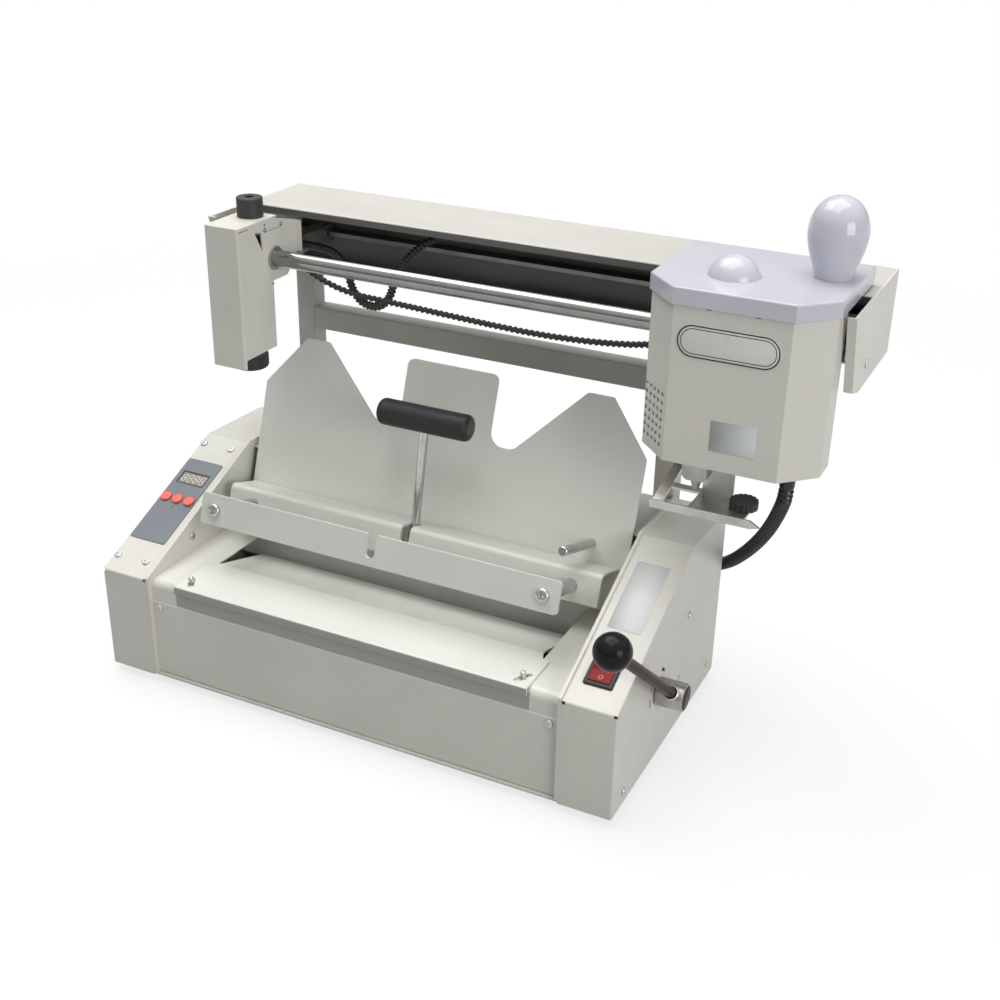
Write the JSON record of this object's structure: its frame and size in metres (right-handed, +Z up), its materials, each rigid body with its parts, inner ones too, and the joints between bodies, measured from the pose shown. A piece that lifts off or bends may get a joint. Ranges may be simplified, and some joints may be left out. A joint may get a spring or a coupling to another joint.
{
  "type": "perfect binding machine",
  "caption": "Desktop hot-melt book binding machine: clamp with notched back plate, nipping lever, sliding milling head and glue head on an overhead shaft.",
  "frame": {"origin": "on the bench, below the middle of the base case", "axes": "+X to the user's right along the guide shaft, +Y from the user's side to the back, +Z up"},
  "size_m": [0.6176, 0.3804, 0.4825],
  "materials": {
    "powder_coat": "satin powder coat",
    "powder_coat_dark": "satin powder coat",
    "zinc_steel": "brushed",
    "chrome_steel": "polished",
    "screw_steel": "bright",
    "cast_aluminium": "as cast",
    "black_plastic": "gloss",
    "black_matte": "matte",
    "black_rubber": "matte",
    "white_plastic": "gloss",
    "overlay_film": "matte film",
    "display_window": "smoked",
    "red_button": "satin",
    "red_rocker": "gloss"
  },
  "bodies": {
    "frame": {"base_pan": "powder_coat", "feet": "black_rubber", "left_side_plate": "powder_coat", "right_side_plate": "powder_coat", "left_housing": "powder_coat", "right_housing": "powder_coat", "front_cover": "powder_coat", "rear_panel": "powder_coat", "table_cover": "powder_coat", "table_pegs": "chrome_steel", "case_screws": "screw_steel", "shaft_bearings": "cast_aluminium", "back_plate": "powder_coat", "plate_brackets": "zinc_steel", "stop_pin": "chrome_steel", "guide_rods": "chrome_steel", "press_bar": "powder_coat", "press_bar_screws": "screw_steel", "panel_overlay": "overlay_film", "display": "display_window", "rocker_bezel": "black_plastic", "hose_gland": "black_matte", "power_inlet": "black_matte", "left_upright": "powder_coat", "right_upright": "powder_coat", "crossbar": "powder_coat", "top_beam": "powder_coat", "left_end_plate": "powder_coat", "right_end_plate": "powder_coat", "guide_shaft": "chrome_steel", "rear_rail": "powder_coat_dark", "glue_hose": "black_matte", "head_cable": "black_matte"},
    "table": {"table_plate": "powder_coat", "table_posts": "zinc_steel"},
    "nipping_lever": {"lever_shaft": "zinc_steel", "lift_cams": "zinc_steel", "lever_hub": "zinc_steel", "lever_arm": "chrome_steel", "lever_ball": "black_plastic"},
    "jaw": {"clamp_jaw": "powder_coat"},
    "clamp_lever": {"clamp_lever_rod": "chrome_steel", "clamp_lever_grip": "black_plastic"},
    "left_button": {"left_button": "red_button"},
    "middle_button": {"middle_button": "red_button"},
    "right_button": {"right_button": "red_button"},
    "rocker": {"power_rocker": "red_rocker"},
    "milling_head": {"milling_case": "powder_coat", "milling_carriage": "powder_coat_dark", "milling_motor": "zinc_steel"},
    "depth_knob": {"depth_knob": "black_matte"},
    "cutter": {"cutter": "black_matte"},
    "glue_head": {"glue_case": "powder_coat", "glue_carriage": "powder_coat_dark", "glue_pot": "cast_aluminium", "glue_nozzle": "screw_steel", "drip_tray": "powder_coat"},
    "turn_knob": {"turn_knob": "black_matte"},
    "glue_lid": {"glue_lid": "white_plastic", "egg_knob": "white_plastic"}
  },
  "joints": [
    {"name": "milling_slide", "type": "slide", "parent": "frame", "child": "milling_head", "axis": [1, 0, 0], "range_m": [0, 0.35], "deforming": ["head_cable"]},
    {"name": "glue_slide", "type": "slide", "parent": "frame", "child": "glue_head", "axis": [1, 0, 0], "range_m": [-0.35, 0], "deforming": ["glue_hose"]},
    {"name": "jaw_slide", "type": "slide", "parent": "frame", "child": "jaw", "axis": [0, -0.9455, 0.3256], "range_m": [0, 0.048]},
    {"name": "clamp_lever_swing", "type": "hinge", "parent": "jaw", "child": "clamp_lever", "pos_m": [0, 0.00101, 0.13303], "axis": [1, 0, 0], "range_deg": [0, 54]},
    {"name": "nipping_lever_swing", "type": "hinge", "parent": "frame", "child": "nipping_lever", "pos_m": [0, -0.032, 0.076], "axis": [1, 0, 0], "range_deg": [0, 50]},
    {"name": "table_lift", "type": "slide", "parent": "frame", "child": "table", "axis": [0, 0, 1], "range_m": [0, 0.0051]},
    {"name": "left_button_press", "type": "slide", "parent": "frame", "child": "left_button", "axis": [0, 0.3973, -0.9177], "range_m": [0, 0.0015], "stiffness_N_per_m": 400},
    {"name": "middle_button_press", "type": "slide", "parent": "frame", "child": "middle_button", "axis": [0, 0.3973, -0.9177], "range_m": [0, 0.0015], "stiffness_N_per_m": 400},
    {"name": "right_button_press", "type": "slide", "parent": "frame", "child": "right_button", "axis": [0, 0.3973, -0.9177], "range_m": [0, 0.0015], "stiffness_N_per_m": 400},
    {"name": "power_rock", "type": "hinge", "parent": "frame", "child": "rocker", "pos_m": [0.2245, -0.0912, 0.11825], "axis": [1, 0, 0], "range_deg": [-16, 0]},
    {"name": "depth_turn", "type": "hinge", "parent": "milling_head", "child": "depth_knob", "pos_m": [-0.17075, 0.02, 0.408], "axis": [0, 0, 1], "continuous": true},
    {"name": "cutter_spin", "type": "hinge", "parent": "milling_head", "child": "cutter", "pos_m": [-0.17075, 0.008, 0.278], "axis": [0, 0, 1], "continuous": true},
    {"name": "tray_knob_turn", "type": "hinge", "parent": "glue_head", "child": "turn_knob", "pos_m": [0.303, -0.022, 0.256], "axis": [0, 0, 1], "continuous": true},
    {"name": "lid_lift", "type": "slide", "parent": "glue_head", "child": "glue_lid", "axis": [0, 0, 1], "range_m": [0, 0.06]}
  ],
  "couplings": [
    {"joint": "table_lift", "follows": "nipping_lever_swing", "m_per_rad": 0.0057296}
  ]
}
